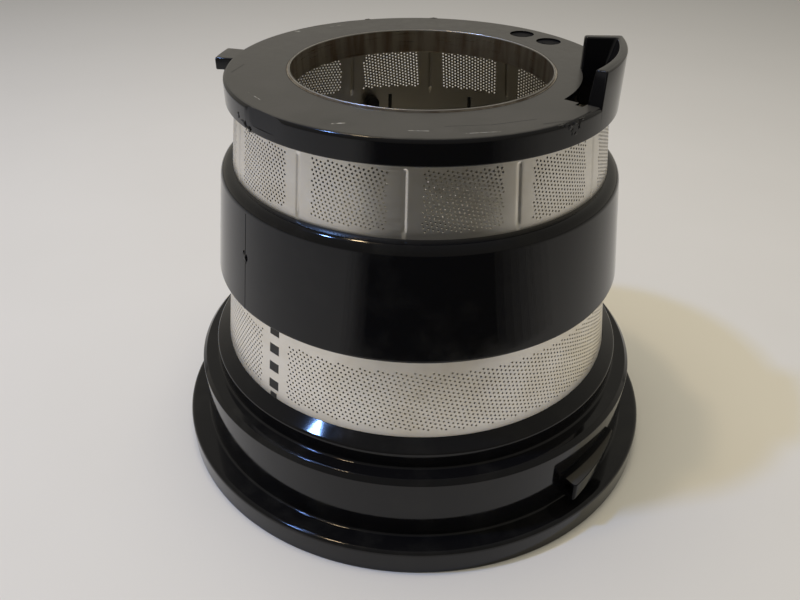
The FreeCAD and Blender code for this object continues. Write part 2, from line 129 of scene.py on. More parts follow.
class Skin:
    """A flat drawing of the sheet in azimuth and height, which is then wrapped and given its thickness."""

    def __init__(self):
        self.points = []
        self.places = {}
        self.faces = []

    def at(self, azimuth, height):
        place = (round(azimuth, SAME_PLACE_DIGITS), round(height, SAME_PLACE_DIGITS))
        if place not in self.places:
            self.places[place] = len(self.points)
            self.points.append((azimuth, height))
        return self.places[place]

    def face(self, *corners):
        self.faces.append([self.at(*corner) for corner in corners])

    def grid(self, azimuths, heights, is_open=None):
        for left, right in zip(azimuths, azimuths[1:]):
            for low, high in zip(heights, heights[1:]):
                if is_open and is_open((left + right) / 2, (low + high) / 2):
                    continue
                self.face((left, low), (right, low), (right, high), (left, high))

    def join(self, first, second, along):
        """Triangles between two lines of points; the second line lies to the left of the first."""
        near, far = 0, 0
        while near < len(first) - 1 or far < len(second) - 1:
            near_next = first[near + 1][along] if near < len(first) - 1 else math.inf
            far_next = second[far + 1][along] if far < len(second) - 1 else math.inf
            if near_next <= far_next:
                self.face(first[near], first[near + 1], second[far])
                near += 1
            else:
                self.face(first[near], second[far + 1], second[far])
                far += 1

    def perforate(self, azimuths, heights, middles, radius):
        """A zone with round holes in it. Returns the lines of points up its sides."""
        start, end, low, high = azimuths[0], azimuths[-1], heights[0], heights[-1]
        left_side = upright(start, heights)
        right_side = upright(end, heights)
        outline = across(low, azimuths) + right_side[1:]
        outline += across(high, reversed(azimuths[:-1])) + left_side[-2:0:-1]
        loops = [outline]
        margin = radius + HOLE_MARGIN
        side = math.degrees(margin / outer_radius(high))
        low_corner = (start + side, low + margin)
        high_corner = (end - side, high - margin)
        inside = np.all((middles > low_corner) & (middles < high_corner), axis=1)
        loops += [hole_rim(azimuth, height, radius) for azimuth, height in middles[inside].tolist()]
        points = [point for loop in loops for point in loop]
        places = iter(range(len(points)))
        rings = [[next(places) for _ in loop] for loop in loops]
        scale = math.radians(outer_radius((low + high) / 2))
        flat = [Vector((azimuth * scale, height)) for azimuth, height in points]
        drawn = geometry.delaunay_2d_cdt(flat, [], rings, INSIDE_LOOPS, MERGE_DISTANCE)
        _, _, faces, sources, _, owners = drawn
        for face, owner in zip(faces, owners):
            if owner == [0]:
                self.face(*(points[sources[corner][0]] for corner in face))
        return left_side, right_side


def hole_rim(azimuth, height, radius):
    turn = math.degrees(radius / outer_radius(height))
    angles = [math.tau * (side + 0.5) / HOLE_SIDES for side in range(HOLE_SIDES)]
    return [(azimuth + turn * math.cos(angle), height + radius * math.sin(angle)) for angle in angles]


def hole_middles(pitch, stretch=1.0):
    """Middles of holes in straight rows on the flat sheet, as they lie once it is rolled into a cone."""
    slope = math.sin(math.atan(CONE_TAPER))
    reach = outer_radius((LOWER_LOW + UPPER_HIGH) / 2) / slope
    steps = np.arange(-ROW_REACH, ROW_REACH)
    column, row = np.meshgrid(steps, steps)
    along = math.radians(ROW_SLOPE)
    aside = along + math.pi / 3
    right = pitch * stretch * (column * math.cos(along) + row * math.cos(aside))
    down = reach - pitch / stretch * (column * math.sin(along) + row * math.sin(aside))
    azimuths = np.degrees(np.arctan2(right, down)) / slope
    heights = CONE_HEIGHT + (CONE_RADIUS - np.hypot(right, down) * slope) / CONE_TAPER
    return np.column_stack([azimuths.ravel(), heights.ravel()])


def in_window(azimuth, height):
    in_column = WINDOW_SIDES[0] < azimuth < WINDOW_SIDES[1]
    return in_column and any(abs(height - middle) < WINDOW_HALF_HEIGHT for middle in WINDOW_MIDDLES)


def draw_lower(skin, middles):
    """The lower zone, with the windows for the moulded ribs at its right. Returns its columns."""
    columns = spread(LOWER_START, LOWER_END, LOWER_COLUMNS)
    rows = spread(LOWER_LOW, LOWER_HIGH, LOWER_ROWS)
    left_side, right_side = skin.perforate(columns, rows, middles, LOWER_HOLE_RADIUS)
    skin.grid(columns, (LOWER_HIGH, WINDOW_STRIP_TOP))
    left_side.append((LOWER_START, WINDOW_STRIP_TOP))
    right_side.append((LOWER_END, WINDOW_STRIP_TOP))
    window_edges = [middle + side * WINDOW_HALF_HEIGHT for middle in WINDOW_MIDDLES for side in (-1, 1)]
    strip_rows = [LOWER_LOW, *window_edges, WINDOW_STRIP_TOP]
    skin.grid(WINDOW_AZIMUTHS, strip_rows, in_window)
    skin.join(upright(WINDOW_AZIMUTHS[0], strip_rows), right_side, HEIGHT)
    skin.join(left_side, upright(SECTOR_START, strip_rows), HEIGHT)
    all_columns = [SECTOR_START, *columns, *WINDOW_AZIMUTHS]
    skin.grid(all_columns, (SHEET_FOOT, FOOT_SPLIT, CONE_HEIGHT, LOWER_LOW))
    return all_columns


def draw_upper(skin, middles):
    """The upper zone: panels of holes between beaded strips. Returns its columns and the panels' middles."""
    all_columns = []
    panel_middles = []
    rows = spread(UPPER_LOW, UPPER_HIGH, PANEL_ROWS)
    for panel in range(PANELS_IN_SECTOR):
        strip = STRIP_AZIMUTH + PANEL_PITCH * panel
        strip_start = SECTOR_START if panel == 0 else strip - STRIP_INSET
        strip_columns = [strip_start, *(strip + offset for offset in STRIP_OFFSETS), strip + STRIP_INSET]
        skin.grid(strip_columns, STRIP_HEIGHTS)
        if panel:
            skin.join(upright(strip_start, STRIP_HEIGHTS), right_side, HEIGHT)
        panel_start = strip + STRIP_HALF
        panel_end = strip + PANEL_PITCH - STRIP_HALF
        columns = spread(panel_start, panel_end, PANEL_COLUMNS)
        left_side, right_side = skin.perforate(columns, rows, middles, PANEL_HOLE_RADIUS)
        skin.join(left_side, upright(strip_columns[-1], STRIP_HEIGHTS), HEIGHT)
        all_columns += [*strip_columns, *columns]
        panel_middles.append((panel_start + panel_end) / 2)
    skin.join(upright(SECTOR_END, STRIP_HEIGHTS), right_side, HEIGHT)
    all_columns.append(SECTOR_END)
    skin.grid(all_columns, (UPPER_HIGH, HEAD_SPLIT, SHEET_HEAD))
    return all_columns, panel_middles


def draw_waist(skin, lower_columns, upper_columns, panel_middles):
    """The plain waist between the zones, with the anchor slots near its top."""
    slot_half = (PANEL_PITCH - 2 * STRIP_HALF) / PANEL_COLUMNS

    def in_anchor(azimuth, height):
        in_column = any(abs(azimuth - middle) < slot_half for middle in panel_middles)
        return in_column and ANCHOR_LOW < height < ANCHOR_HIGH

    plain, low_split, high_split = WAIST_HEIGHTS
    skin.grid(lower_columns, (WINDOW_STRIP_TOP, plain, low_split))
    skin.join(across(low_split, lower_columns), across(high_split, upper_columns), AZIMUTH)
    skin.grid(upper_columns, (high_split, ANCHOR_LOW, ANCHOR_HIGH, UPPER_LOW), in_anchor)


def draw_sector(turn):
    """One third of the sheet, between two plain edges, for a place that is turned round from the first."""
    skin = Skin()
    lower_columns = draw_lower(skin, hole_middles(LOWER_HOLE_PITCH) - (turn, 0.0))
    panel_holes = hole_middles(PANEL_HOLE_PITCH, PANEL_HOLE_STRETCH) - (turn, 0.0)
    upper_columns, panel_middles = draw_upper(skin, panel_holes)
    draw_waist(skin, lower_columns, upper_columns, panel_middles)
    return skin


def bead_press(azimuth, height):
    """How far the sheet is pressed in, at a place on it."""
    nearest = STRIP_AZIMUTH + PANEL_PITCH * round((azimuth - STRIP_AZIMUTH) / PANEL_PITCH)
    aside = math.radians(azimuth - nearest) * outer_radius(height) / BEAD_HALF_WIDTH
    run_out = min(height - BEAD_LOW, BEAD_HIGH - height) / BEAD_HALF_WIDTH
    if abs(aside) >= 1 or run_out <= 0:
        return 0.0
    return BEAD_DEPTH * math.cos(aside * math.pi / 2) ** 2 * min(1.0, run_out) ** 0.5


def wrap(skin):
    """Vertices and faces of the sheet: the drawing outside and inside, and a wall along each of its edges."""
    outer, inner = [], []
    for azimuth, height in skin.points:
        radius = outer_radius(height) - bead_press(azimuth, height)
        outer.append(on_ring(azimuth, radius, height))
        inner.append(on_ring(azimuth, radius - SHEET_THICKNESS, height))
    count = len(skin.points)
    faces = list(skin.faces)
    faces += [[corner + count for corner in reversed(face)] for face in skin.faces]
    edges = set()
    for face in skin.faces:
        edges.update(zip(face, face[1:] + face[:1]))
    faces += [[end, start, start + count, end + count] for start, end in edges if (end, start) not in edges]
    return np.array(outer + inner), faces


def build_screen(material):
    for number, turn in enumerate(SECTOR_TURNS):
        vertices, faces = wrap(draw_sector(turn))
        spin = np.array(Matrix.Rotation(math.radians(turn), 3, "Z"))
        piece = make_object(f"screen_sector_{number + 1}", vertices @ spin.T, faces)
        present(piece, "steel_screen", material)


# Making of turned and moulded pieces

SHARP_ANGLE = 35.0
SOFTENED_RADIANS = 0.5
TURNS = 288
ROUND_STEPS = 5
GUARD = 0.12
MOULD_GAP = 0.05
JOIN_SINK = 0.01
CUT_MARGIN = 1.0
DISC_SIDES = 48
LUMP_DETAIL = 3
LUMP_ROUGHNESS = 0.5
LUMP_GRAIN = 1.9


def on_ring(azimuth, radius, height):
    turn = math.radians(azimuth)
    return (radius * math.sin(turn), -radius * math.cos(turn), height)


def make_object(name, vertices, faces):
    mesh = bpy.data.meshes.new(name)
    mesh.from_pydata((np.asarray(vertices) * MM).tolist(), [], faces)
    piece = bpy.data.objects.new(name, mesh)
    bpy.context.scene.collection.objects.link(piece)
    shade(piece)
    return piece


def shade(piece):
    piece.data.shade_smooth()
    piece.data.set_sharp_from_angle(angle=math.radians(SHARP_ANGLE))


def present(piece, node, material):
    """Puts a finished piece in the place of a node of the frame."""
    piece.data.materials.clear()
    piece.data.materials.append(material)
    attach(piece, "root")
    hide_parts(node)


def rounded(corners):
    """Points of a closed outline. Each corner has two coordinates and the radius of its round, or zero."""
    points = []
    for index, (right, up, bend) in enumerate(corners):
        here = Vector((right, up))
        if not bend:
            points.append(here)
            continue
        back = (Vector(corners[index - 1][:2]) - here).normalized()
        ahead = (Vector(corners[(index + 1) % len(corners)][:2]) - here).normalized()
        half = back.angle(ahead) / 2
        reach = bend / math.tan(half)
        middle = here + (back + ahead).normalized() * (bend / math.sin(half))
        first = here + back * reach - middle
        arc = first.angle_signed(here + ahead * reach - middle)
        points.append(here + back * (reach + GUARD))
        for step in range(ROUND_STEPS + 1):
            spoke = first.copy()
            spoke.rotate(Matrix.Rotation(-arc * step / ROUND_STEPS, 2))
            points.append(middle + spoke)
        points.append(here + ahead * (reach + GUARD))
    return [tuple(point) for point in points]


def lathe(outline):
    """A ring turned from a closed outline, which runs upwards on its outer side."""
    count = len(outline)
    vertices = [on_ring(360.0 * turn / TURNS, *point) for turn in range(TURNS) for point in outline]
    faces = []
    for turn in range(TURNS):
        near, far = turn * count, (turn + 1) % TURNS * count
        for index in range(count):
            up = (index + 1) % count
            faces.append([near + index, far + index, far + up, near + up])
    return vertices, faces


def sweep(section, azimuths):
    """A bar between capped ends. The section gives its outline at an azimuth, as for a turned ring."""
    outlines = [section(azimuth) for azimuth in azimuths]
    count = len(outlines[0])
    vertices = [
        on_ring(azimuth, *point) for azimuth, outline in zip(azimuths, outlines) for point in outline
    ]
    last = (len(azimuths) - 1) * count
    faces = [list(range(count)), list(range(last + count - 1, last - 1, -1))]
    for near in range(0, last, count):
        for index in range(count):
            up = (index + 1) % count
            faces.append([near + index, near + count + index, near + count + up, near + up])
    return vertices, faces


def block(start, end, low, high, inner, outer, steps=1):
    """A bar of four-sided section. Its inner and outer radii are functions of height."""
    outline = [(inner(low), low), (outer(low), low), (outer(high), high), (inner(high), high)]
    return sweep(lambda azimuth: outline, spread(start, end, steps))


def at_radius(radius):
    return lambda height: radius


def off_sheet(distance):
    """Radius at a distance outwards from the sheet's outer face."""
    return lambda height: outer_radius(height) + distance


def stack(levels):
    """A capped column through level loops of points, each anticlockwise seen from above."""
    count = len(levels[0])
    vertices = [point for loop in levels for point in loop]
    last = (len(levels) - 1) * count
    faces = [list(range(count - 1, -1, -1)), list(range(last, last + count))]
    for low in range(0, last, count):
        for index in range(count):
            ahead = (index + 1) % count
            faces.append([low + index, low + ahead, low + count + ahead, low + count + index])
    return vertices, faces


def disc(azimuth, reach, radius, low, high):
    """A round plate whose middle lies at a reach from the axis."""
    turns = spread(0.0, 360.0, DISC_SIDES)[:-1]
    middle = Vector(on_ring(azimuth, reach, 0.0))
    rims = [[Vector(on_ring(turn, radius, height)) for turn in turns] for height in (low, high)]
    return stack([[tuple(middle + point) for point in rim] for rim in rims])


def lump(azimuth, radius, height, reach, seed):
    """A ragged blob of torn plastic. Its reach is round the axis, outwards and upwards."""
    ball = bmesh.new()
    bmesh.ops.create_icosphere(ball, subdivisions=LUMP_DETAIL, radius=1.0)
    turn = Matrix.Rotation(math.radians(azimuth), 3, "Z")
    vertices = []
    for vertex in ball.verts:
        rough = 1.0 + LUMP_ROUGHNESS * noise.noise(vertex.co * LUMP_GRAIN + Vector((seed, 0.0, 0.0)))
        along, out, up = (part * length * rough for part, length in zip(vertex.co, reach))
        vertices.append(turn @ Vector((along, -radius - out, height + up)))
    faces = [[vertex.index for vertex in face.verts] for face in ball.faces]
    ball.free()
    return [tuple(vertex) for vertex in vertices], faces


def merged(solids):
    vertices, faces = [], []
    for points, sides in solids:
        start = len(vertices)
        vertices += points
        faces += [[start + corner for corner in side] for side in sides]
    return vertices, faces


def soften(piece, width, steps=3):
    """Rounds every sharp edge of a piece."""
    mesh = bmesh.new()
    mesh.from_mesh(piece.data)
    edges = [edge for edge in mesh.edges if edge.calc_face_angle(0.0) > SOFTENED_RADIANS]
    bmesh.ops.bevel(
        mesh, geom=edges, offset=width * MM, segments=steps, profile=0.5, affect="EDGES", clamp_overlap=True
    )
    mesh.to_mesh(piece.data)
    mesh.free()
    shade(piece)


def carve(piece, tool, operation):
    """Joins a closed tool mesh to a piece, or cuts it away."""
    change = piece.modifiers.new("carve", "BOOLEAN")
    change.operation = operation
    change.solver = "EXACT"
    change.object = tool
    shaped = piece.evaluated_get(bpy.context.evaluated_depsgraph_get())
    piece.data = bpy.data.meshes.new_from_object(shaped)
    piece.modifiers.clear()
    bpy.data.objects.remove(tool)
    shade(piece)


def join(piece, solids):
    """Adds closed meshes to a piece as they are."""
    vertices, faces = merged(solids)
    extra = bpy.data.meshes.new("extra")
    extra.from_pydata((np.asarray(vertices) * MM).tolist(), [], faces)
    mesh = bmesh.new()
    mesh.from_mesh(piece.data)
    mesh.from_mesh(extra)
    mesh.to_mesh(piece.data)
    mesh.free()
    bpy.data.meshes.remove(extra)
    shade(piece)


# Rim, band and ribs

SEAL = CONE_HEIGHT
FLANGE_RADIUS = 59.98
FLANGE_TOP = 6.2
FLANGE_INSIDE = 57.8
FLANGE_ROOF = 4.0
WALL_FOOT = 55.0
WALL_HEAD = 54.95
WALL_HEAD_HEIGHT = 21.3
WALL_INSIDE_FOOT = 53.4
WALL_INSIDE_HEAD = 52.7
STEP_RADIUS = 54.0
STEP_TOP = 22.3
STEP_UNDERSIDE = 20.1
HUB_RADIUS = 50.8
HUB_EDGE = 26.4
GROOVE_FLOOR = 23.55
LIP_TOP = 28.9
SKIRT_WALL = 1.2

WEDGE_START = 38.0
WEDGE_MIDDLE = 46.0
WEDGE_END = 57.0
WEDGE_BASE = 55.6
WEDGE_ROOT = WEDGE_BASE - 1.6
WEDGE_DEPTHS = (3.2, 2.3, 0.4)
WEDGE_ROUND = 0.8
WEDGE_EDGE = 0.3
WEDGE_FOOT = FLANGE_TOP + 2.4
WEDGE_FOOT_RISE = 5.2
WEDGE_TOP = FLANGE_TOP + 7.3
WEDGE_TOP_RISE = 2.5
WEDGE_END_STEPS = (0.0, 0.03, 0.1, 0.2, 0.4, 0.6, 0.85)
WEDGE_BODY_START = WEDGE_START + 1.5
WEDGE_BODY_STEPS = 16
POCKET_END = WEDGE_START + 2.6
POCKET_LOW = FLANGE_TOP + 3.5
POCKET_HIGH = FLANGE_TOP + 6.6
POCKET_INSIDE = WEDGE_BASE + 0.3
POCKET_OUTSIDE = WEDGE_BASE + 2.5
POCKET_ROUND = 0.6
POCKET_STEPS = 4

BAND_LOW = 47.6
BAND_HIGH = 72.2
BAND_WALL = 2.6
SEAM_AZIMUTH = -50.3
SEAM_HALF_ANGLE = 0.12
SEAM_LOW = BAND_LOW + 0.4
SEAM_HIGH = BAND_HIGH - 2.4
SEAM_ROOT = 2.2
SEAM_CREST = 2.66

RIB_AZIMUTHS = (-41.0, 79.0, 199.0)
RIB_HALF_ANGLE = 2.5
RIB_STEPS = 12
RIB_LOW = 21.3
RIB_TOP = 71.4
RIB_DEPTH = 2.4
RIB_ARCH = 1.7
RIB_ARCH_SHARE = 0.95
RIB_ROUND = 0.5
PLUG_HALF_ANGLE = 1.77
PLUG_ROOT = -1.35
FOOT_PLUG_HALF_ANGLE = 1.1
FOOT_PLUG_LOW = SEAL - 0.6
FOOT_PLUG_HIGH = SEAL + 1.1
FOOT_PLUG_CREST = 0.15
KEY_AZIMUTH = 11.6
KEY_HALF_ANGLE = 0.52
KEY_CREST = 0.8

# Nicks on the band's flash line: angle from it, height at which the band's radius is taken, height, reach
# and seed
BAND_NICKS = (
    (0.3, 60.0, 59.6, (0.45, 0.3, 1.1), 1.0),
    (-0.7, 61.0, 60.9, (0.4, 0.25, 0.5), 5.0),
)


def rim_outline():
    sheet = outer_radius(GROOVE_FLOOR)
    lip = outer_radius(LIP_TOP) - SHEET_THICKNESS - MOULD_GAP
    skirt = outer_radius(STEP_UNDERSIDE) - SHEET_THICKNESS - MOULD_GAP
    return rounded([
        (FLANGE_RADIUS, 0.0, 0.3),
        (FLANGE_RADIUS, FLANGE_TOP, 0.9),
        (WALL_FOOT, FLANGE_TOP, 0.5),
        (WALL_HEAD, WALL_HEAD_HEIGHT, 0.35),
        (STEP_RADIUS, STEP_TOP, 0.35),
        (HUB_RADIUS, STEP_TOP, 0.5),
        (HUB_RADIUS, HUB_EDGE, 0.7),
        (outer_radius(SEAL) + MOULD_GAP, SEAL, 0.0),
        (sheet + MOULD_GAP, GROOVE_FLOOR, 0.0),
        (sheet - SHEET_THICKNESS - MOULD_GAP, GROOVE_FLOOR, 0.0),
        (lip, LIP_TOP, 0.15),
        (lip - SKIRT_WALL, LIP_TOP, 0.3),
        (skirt - SKIRT_WALL, STEP_UNDERSIDE, 0.3),
        (WALL_INSIDE_HEAD, STEP_UNDERSIDE, 0.4),
        (WALL_INSIDE_FOOT, FLANGE_ROOF, 0.4),
        (FLANGE_INSIDE, FLANGE_ROOF, 0.4),
        (FLANGE_INSIDE, 0.0, 0.3),
    ])


def wedge_section(azimuth):
    """The wedge's outline at an azimuth: it grows thinner and higher from its blunt, rounded end."""
    share = (azimuth - WEDGE_START) / (WEDGE_END - WEDGE_START)
    middle = (WEDGE_MIDDLE - WEDGE_START) / (WEDGE_END - WEDGE_START)
    start_depth, middle_depth, end_depth = WEDGE_DEPTHS
    curve = ((middle_depth - start_depth) / middle - (end_depth - start_depth)) / (middle - 1.0)
    depth = start_depth + share * (end_depth - start_depth) + curve * share * (share - 1.0)
    along = math.radians(azimuth - WEDGE_START) * WEDGE_BASE
    if along < WEDGE_ROUND:
        depth -= WEDGE_ROUND - math.sqrt(WEDGE_ROUND**2 - (WEDGE_ROUND - along) ** 2)
    face = WEDGE_BASE + depth
    foot = WEDGE_FOOT + WEDGE_FOOT_RISE * share
    top = WEDGE_TOP + WEDGE_TOP_RISE * share
    return rounded([
        (WEDGE_ROOT, foot, 0.0),
        (face, foot, WEDGE_EDGE),
        (face, top, WEDGE_EDGE),
        (WEDGE_ROOT, top, 0.0),
    ])


def build_rim(material):
    rim = make_object("rim_shell", *lathe(rim_outline()))
    stations = [WEDGE_START + step for step in WEDGE_END_STEPS]
    stations += spread(WEDGE_BODY_START, WEDGE_END, WEDGE_BODY_STEPS)
    wedge = make_object("wedge", *sweep(wedge_section, stations))
    inside, outside = at_radius(POCKET_INSIDE), at_radius(POCKET_OUTSIDE)
    pocket_start = WEDGE_START - CUT_MARGIN
    pocket = block(pocket_start, POCKET_END, POCKET_LOW, POCKET_HIGH, inside, outside, POCKET_STEPS)
    hollow = make_object("pocket", *pocket)
    soften(hollow, POCKET_ROUND, POCKET_STEPS)
    carve(wedge, hollow, "DIFFERENCE")
    carve(rim, wedge, "UNION")
    present(rim, "rim_frame", material)


def build_band(material):
    gap, wall = off_sheet(MOULD_GAP), off_sheet(BAND_WALL)
    outline = rounded([
        (gap(BAND_LOW), BAND_LOW, 0.0),
        (wall(BAND_LOW), BAND_LOW, 0.5),
        (wall(BAND_HIGH), BAND_HIGH, 2.3),
        (gap(BAND_HIGH), BAND_HIGH, 0.0),
    ])
    band = make_object("middle_band", *lathe(outline))
    seam_start, seam_end = SEAM_AZIMUTH - SEAM_HALF_ANGLE, SEAM_AZIMUTH + SEAM_HALF_ANGLE
    faults = [block(seam_start, seam_end, SEAM_LOW, SEAM_HIGH, off_sheet(SEAM_ROOT), off_sheet(SEAM_CREST))]
    for angle, radius_height, height, reach, seed in BAND_NICKS:
        faults.append(lump(SEAM_AZIMUTH + angle, wall(radius_height), height, reach, seed))
    join(band, faults)
    present(band, "rim_frame", material)


def make_rib(middle):
    """A rib inside the sheet. Its top is an arch."""
    inner = off_sheet(-SHEET_THICKNESS - MOULD_GAP - RIB_DEPTH)
    outer = off_sheet(-SHEET_THICKNESS - MOULD_GAP)

    def section(azimuth):
        share = RIB_ARCH_SHARE * (azimuth - middle) / RIB_HALF_ANGLE
        high = RIB_TOP - RIB_ARCH * (1 - math.sqrt(1 - share**2))
        return [
            (inner(RIB_LOW), RIB_LOW),
            (outer(RIB_LOW), RIB_LOW),
            (outer(high), high),
            (inner(high), high),
        ]

    return sweep(section, spread(middle - RIB_HALF_ANGLE, middle + RIB_HALF_ANGLE, RIB_STEPS))


def build_ribs(material):
    root, flush, low_crest = off_sheet(PLUG_ROOT), off_sheet(0.0), off_sheet(FOOT_PLUG_CREST)
    half_height = WINDOW_HALF_HEIGHT - MOULD_GAP
    plugs = []
    for azimuth in RIB_AZIMUTHS:
        start, end = azimuth - PLUG_HALF_ANGLE, azimuth + PLUG_HALF_ANGLE
        for middle in WINDOW_MIDDLES:
            plugs.append(block(start, end, middle - half_height, middle + half_height, root, flush))
        start, end = azimuth - FOOT_PLUG_HALF_ANGLE, azimuth + FOOT_PLUG_HALF_ANGLE
        plugs.append(block(start, end, FOOT_PLUG_LOW, FOOT_PLUG_HIGH, off_sheet(JOIN_SINK), low_crest))
    inside, outside = off_sheet(-SHEET_THICKNESS), off_sheet(KEY_CREST)
    for panel in range(PANELS_IN_SECTOR * len(SECTOR_TURNS)):
        azimuth = KEY_AZIMUTH + PANEL_PITCH * panel
        start, end = azimuth - KEY_HALF_ANGLE, azimuth + KEY_HALF_ANGLE
        plugs.append(block(start, end, ANCHOR_LOW + MOULD_GAP, ANCHOR_HIGH - MOULD_GAP, inside, outside))
    piece = make_object("inner_ribs", *merged([make_rib(azimuth) for azimuth in RIB_AZIMUTHS]))
    soften(piece, RIB_ROUND)
    join(piece, plugs)
    present(piece, "rim_frame", material)


# Collar and its steel ring

COLLAR_LOW = HEAD_SPLIT
COLLAR_TOP = 91.5
COLLAR_RADIUS = 42.0
OUTLET_RADIUS = 34.0
OUTLET_START = 54.0
OUTLET_END = 88.3
OUTLET_BACK = 91.5
OUTLET_DROP = 1.4
OUTLET_STEPS = 24
CHUTE_LOW = COLLAR_LOW - 2.5
CHUTE_STEPS = 3
NOTCH_START = OUTLET_START - 2.4
NOTCH_END = OUTLET_START + 0.5
NOTCH_LOW = COLLAR_TOP - 1.6
NOTCH_RADIUS = 37.2
NOTCH_STEPS = 2

LIP_CREST = 98.3
LIP_ROOT_RADIUS = 38.9
LIP_ROUND = 0.35
LIP_SINK = 1.4
LIP_UPRIGHT = 3.0
LIP_LEAN = 0.7
LIP_LEAN_GAIN = 1.0
LIP_FRONT_ANGLE = 1.5
LIP_FRONT_ROUND = 0.25
LIP_BACK_ANGLE = 2.5
LIP_BACK_ROUND = 0.5
LIP_BEND_ANGLE = 2.0
LIP_BEND_ROUND = 0.7
LIP_OUTSIDE_STEPS = 24
LIP_INSIDE_STEPS = 22

LUG_START = -104.0
LUG_END = -94.0
LUG_HEIGHT = 2.7
LUG_ROOT = 40.5
LUG_REACH = 45.6
LUG_ROUND = 0.35
LUG_STEPS = 8
RECESS_AZIMUTHS = (125.0, 138.3)
RECESS_REACH = 36.5
RECESS_RADIUS = 2.9
RECESS_DEPTH = 0.4
RECESS_DISC_RADIUS = 1.5
RECESS_DISC_DEPTH = 0.3
TRIM_AZIMUTH = -44.0
TRIM_HALF_ANGLE = 12.0
TRIM_STEPS = 12
TRIM_LOW = 87.9
TRIM_LOW_REACH = 41.85
TRIM_HIGH = 93.0
TRIM_HIGH_REACH = 41.35
TRIM_OUTSIDE = 50.0

RING_OUTSIDE = 28.8
RING_FLANGE = 31.0
RING_WALL = 0.7
RING_BORE = 28.1
RING_TOP = 91.85
RING_CREST = 0.34

# Torn plastic at the gate marks: azimuth, radius, height and reach
BURRS = (
    (36.9, 41.7, 91.25, (0.9, 0.3, 0.2)),
    (38.6, 41.75, 91.1, (0.8, 0.35, 0.35)),
    (40.2, 41.75, 90.5, (0.7, 0.4, 0.6)),
    (41.1, 41.8, 89.4, (0.5, 0.3, 0.8)),
    (41.9, 41.75, 90.9, (0.9, 0.4, 0.4)),
    (42.6, 41.8, 88.9, (0.7, 0.3, 0.5)),
    (43.5, 41.75, 90.2, (0.6, 0.4, 0.9)),
    (44.8, 41.7, 91.2, (0.8, 0.3, 0.25)),
    (-50.4, 41.7, 86.9, (0.9, 0.55, 0.7)),
    (-52.4, 41.75, 87.3, (0.5, 0.5, 0.9)),
    (-54.2, 41.7, 87.6, (0.8, 0.45, 0.6)),
    (-56.6, 41.8, 88.4, (0.5, 0.35, 0.8)),
    (54.8, 40.5, 98.05, (0.5, 0.6, 0.2)),
    (56.3, 40.8, 98.1, (0.5, 0.4, 0.15)),
    (55.2, 39.6, 96.4, (0.25, 0.3, 0.5)),
    (176.0, 41.6, 91.35, (1.1, 0.3, 0.2)),
    (-160.0, 41.6, 91.4, (0.8, 0.3, 0.15)),
)


def collar_outline():
    groove_roof = SHEET_HEAD + MOULD_GAP
    inner, outer = off_sheet(-SHEET_THICKNESS - MOULD_GAP), off_sheet(MOULD_GAP)
    ring_seat = COLLAR_LOW + RING_WALL + MOULD_GAP
    return rounded([
        (RING_OUTSIDE + MOULD_GAP, COLLAR_TOP, 0.1),
        (RING_OUTSIDE + MOULD_GAP, ring_seat, 0.0),
        (RING_FLANGE + MOULD_GAP, ring_seat, 0.0),
        (RING_FLANGE + MOULD_GAP, COLLAR_LOW, 0.0),
        (inner(COLLAR_LOW), COLLAR_LOW, 0.0),
        (inner(groove_roof), groove_roof, 0.0),
        (outer(groove_roof), groove_roof, 0.0),
        (outer(COLLAR_LOW), COLLAR_LOW, 0.0),
        (COLLAR_RADIUS, COLLAR_LOW, 0.3),
        (COLLAR_RADIUS, COLLAR_TOP, 0.8),
    ])


def lip_loop(height, inset):
    """Plan of the J-shaped lip at a height. Its wall leans outwards and is thinner towards its rear."""
    lean = max(0.0, (height - COLLAR_TOP) / (LIP_CREST - COLLAR_TOP))
    outer = COLLAR_RADIUS + JOIN_SINK - inset
    end = OUTLET_RADIUS + inset
    side = math.degrees(inset / COLLAR_RADIUS)

    def inner(azimuth):
        share = (azimuth - OUTLET_START) / (OUTLET_END - OUTLET_START)
        return LIP_ROOT_RADIUS + lean * (LIP_LEAN + LIP_LEAN_GAIN * share) + inset

    start, front, back = OUTLET_START + side, OUTLET_END + side, OUTLET_BACK - side
    even_start = OUTLET_START + LIP_FRONT_ANGLE
    outside = spread(even_start, OUTLET_BACK - LIP_BACK_ANGLE, LIP_OUTSIDE_STEPS)
    inside = spread(OUTLET_END - LIP_BEND_ANGLE, even_start, LIP_INSIDE_STEPS)
    corners = [
        (start, outer, LIP_FRONT_ROUND),
        *((azimuth, outer, 0.0) for azimuth in outside),
        (back, outer, LIP_BACK_ROUND),
        (back, end, LIP_BACK_ROUND),
        (front, end, LIP_BACK_ROUND),
        (front, inner(front), LIP_BEND_ROUND),
        *((azimuth, inner(azimuth), 0.0) for azimuth in inside),
        (start, inner(start), LIP_FRONT_ROUND),
    ]
    plan = [(*on_ring(azimuth, radius, height)[:2], bend) for azimuth, radius, bend in corners]
    return [(*point, height) for point in rounded(plan)]


def make_lip():
    """The raised lip of the outlet, with a rounded crest."""
    upright_heights = (COLLAR_TOP - LIP_SINK, COLLAR_TOP, COLLAR_TOP + LIP_UPRIGHT)
    levels = [lip_loop(height, 0.0) for height in upright_heights]
    for turn in spread(0.0, math.pi / 2, ROUND_STEPS):
        height = LIP_CREST - LIP_ROUND * (1 - math.sin(turn))
        levels.append(lip_loop(height, LIP_ROUND * (1 - math.cos(turn))))
    return make_object("lip", *stack(levels))


def make_lug():
    low, high = COLLAR_TOP - LUG_HEIGHT, COLLAR_TOP - JOIN_SINK
    bar = block(LUG_START, LUG_END, low, high, at_radius(LUG_ROOT), at_radius(LUG_REACH), LUG_STEPS)
    lug = make_object("lug", *bar)
    soften(lug, LUG_ROUND)
    return lug


